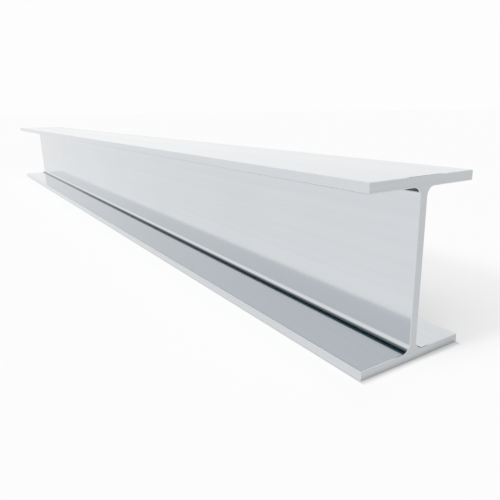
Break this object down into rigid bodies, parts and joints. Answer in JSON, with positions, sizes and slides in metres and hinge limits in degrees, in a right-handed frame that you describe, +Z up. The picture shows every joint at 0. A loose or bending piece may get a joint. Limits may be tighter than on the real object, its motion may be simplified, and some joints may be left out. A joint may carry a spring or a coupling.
{
  "type": "steel h-beam",
  "caption": "Straight rolled H-section beam: wide parallel flanges joined by a web with root fillets, sawn square at its ends, for structural framing.",
  "frame": {"origin": "on the floor, under the middle of the beam: the centre of the lower flange's underside", "axes": "+X along the beam's length, +Y across its flanges, +Z up from the lower flange to the upper one"},
  "size_m": [2, 0.151, 0.198],
  "materials": {
    "steel": "bare steel with a smooth satin sheen, faint lengthwise rolling lines and finely sawn ends"
  },
  "bodies": {
    "root": {"h_beam": "steel"}
  },
  "joints": []
}
